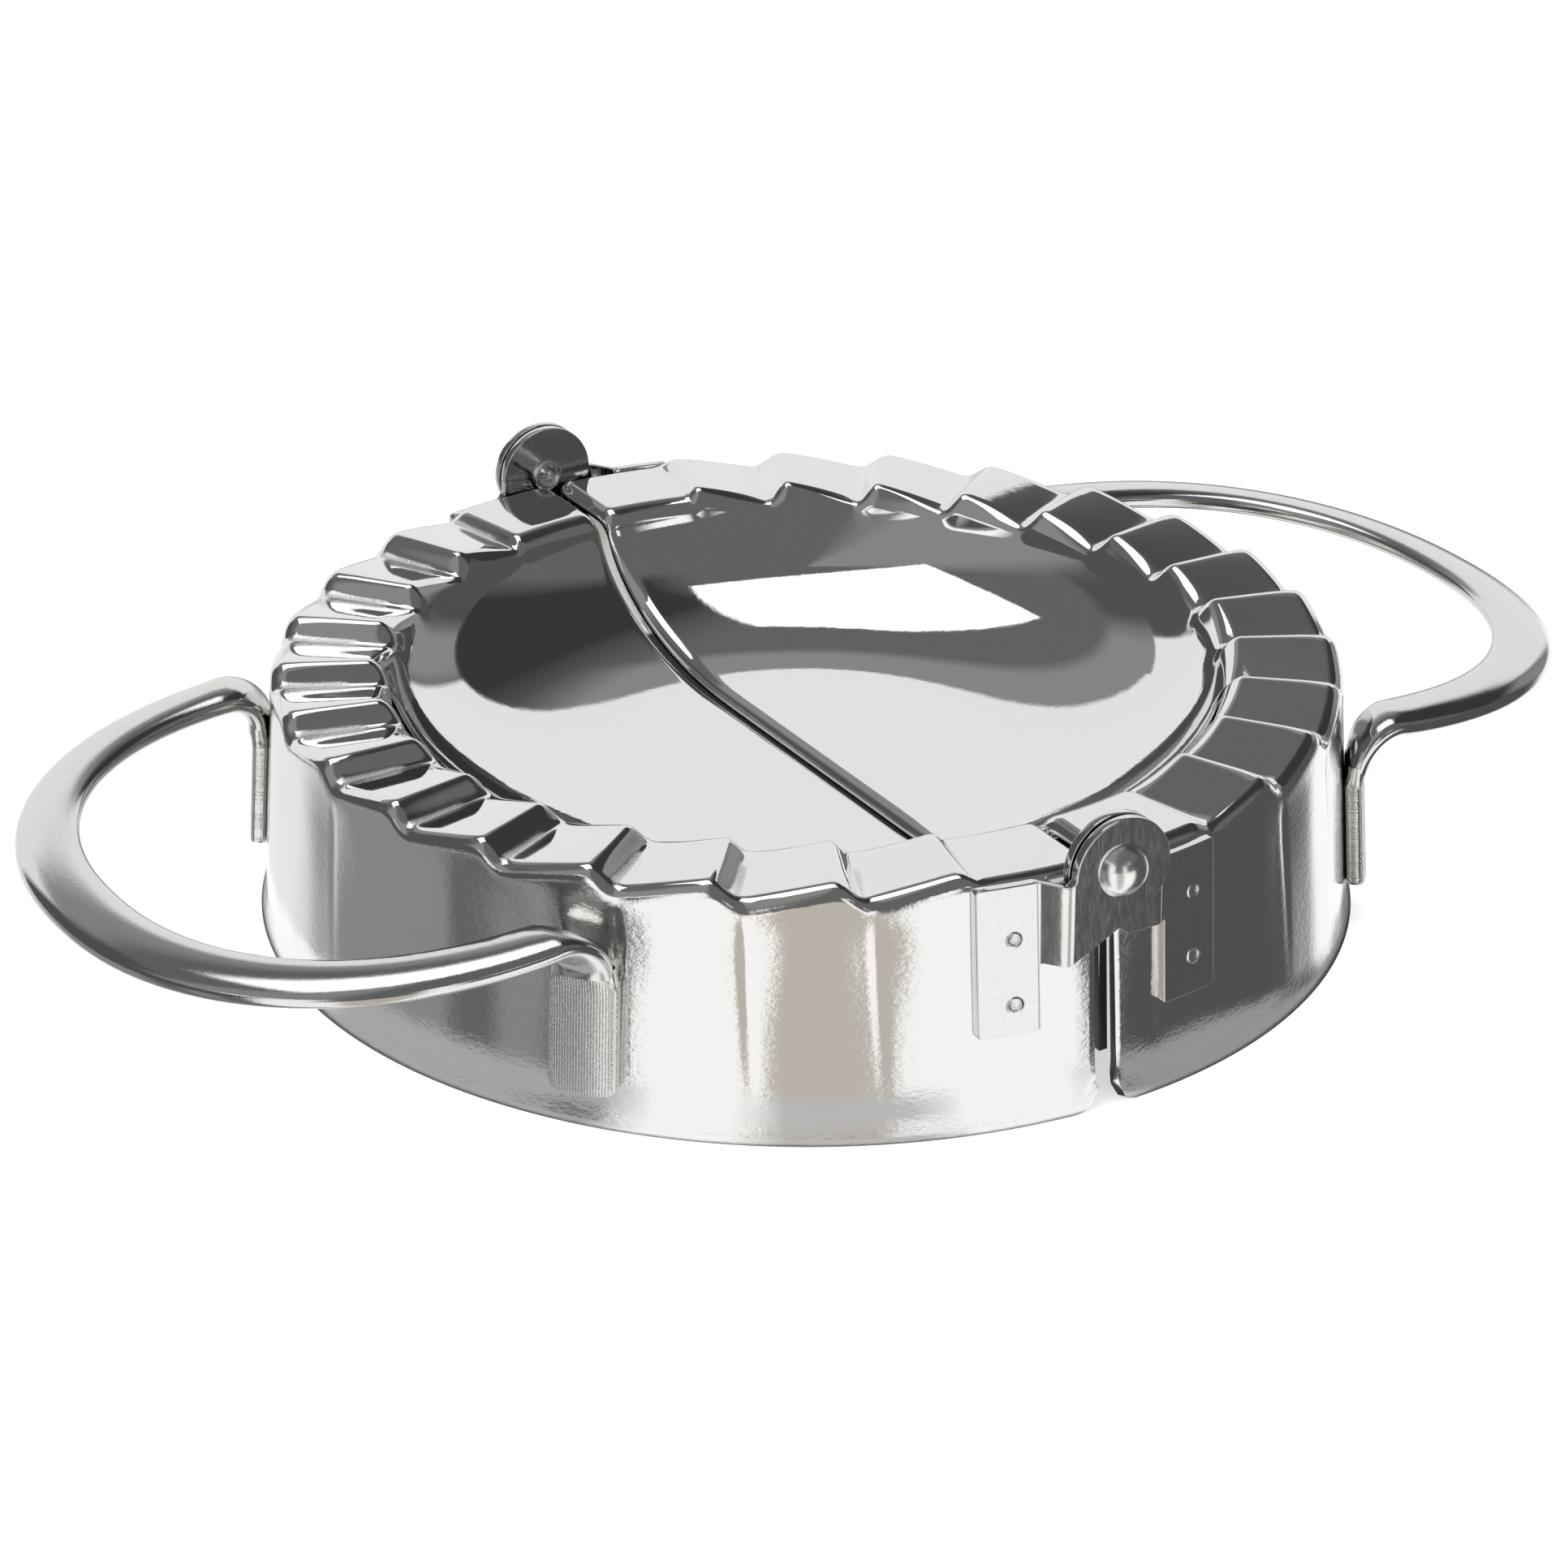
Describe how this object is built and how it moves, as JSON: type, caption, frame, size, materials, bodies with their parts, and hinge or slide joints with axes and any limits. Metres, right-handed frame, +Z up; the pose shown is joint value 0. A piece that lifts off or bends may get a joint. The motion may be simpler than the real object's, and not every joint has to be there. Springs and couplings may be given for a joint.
{
  "type": "empanada press",
  "caption": "Hinged round dough press of stainless sheet with a shallow bowl, a toothed crimping rim and a bar handle on each half.",
  "frame": {"origin": "middle of the open press on the plane that it stands on, under the middle of the hinge axis", "axes": "+Z up; the hinge axis runs along Y at z = 28.5 mm; the handles reach out along -X and +X"},
  "size_m": [0.1848, 0.1318, 0.0343],
  "materials": {
    "shell_steel": "polished to a mirror, with faint upright polishing lines on the skirt",
    "handle_steel": "satin, tumbled",
    "hinge_steel": "satin",
    "rivet_steel": "polished"
  },
  "bodies": {
    "left_half": {"left_shell": "shell_steel", "left_handle": "handle_steel", "front_outer_leaf": "hinge_steel", "back_inner_leaf": "hinge_steel", "front_rivet": "rivet_steel", "back_rivet": "rivet_steel"},
    "right_half": {"right_shell": "shell_steel", "right_handle": "handle_steel", "front_inner_leaf": "hinge_steel", "back_outer_leaf": "hinge_steel"}
  },
  "joints": [
    {"name": "fold", "type": "hinge", "parent": "left_half", "child": "right_half", "pos_m": [0, 0, 0.0285], "axis": [0, -1, 0], "range_deg": [0, 180]}
  ]
}
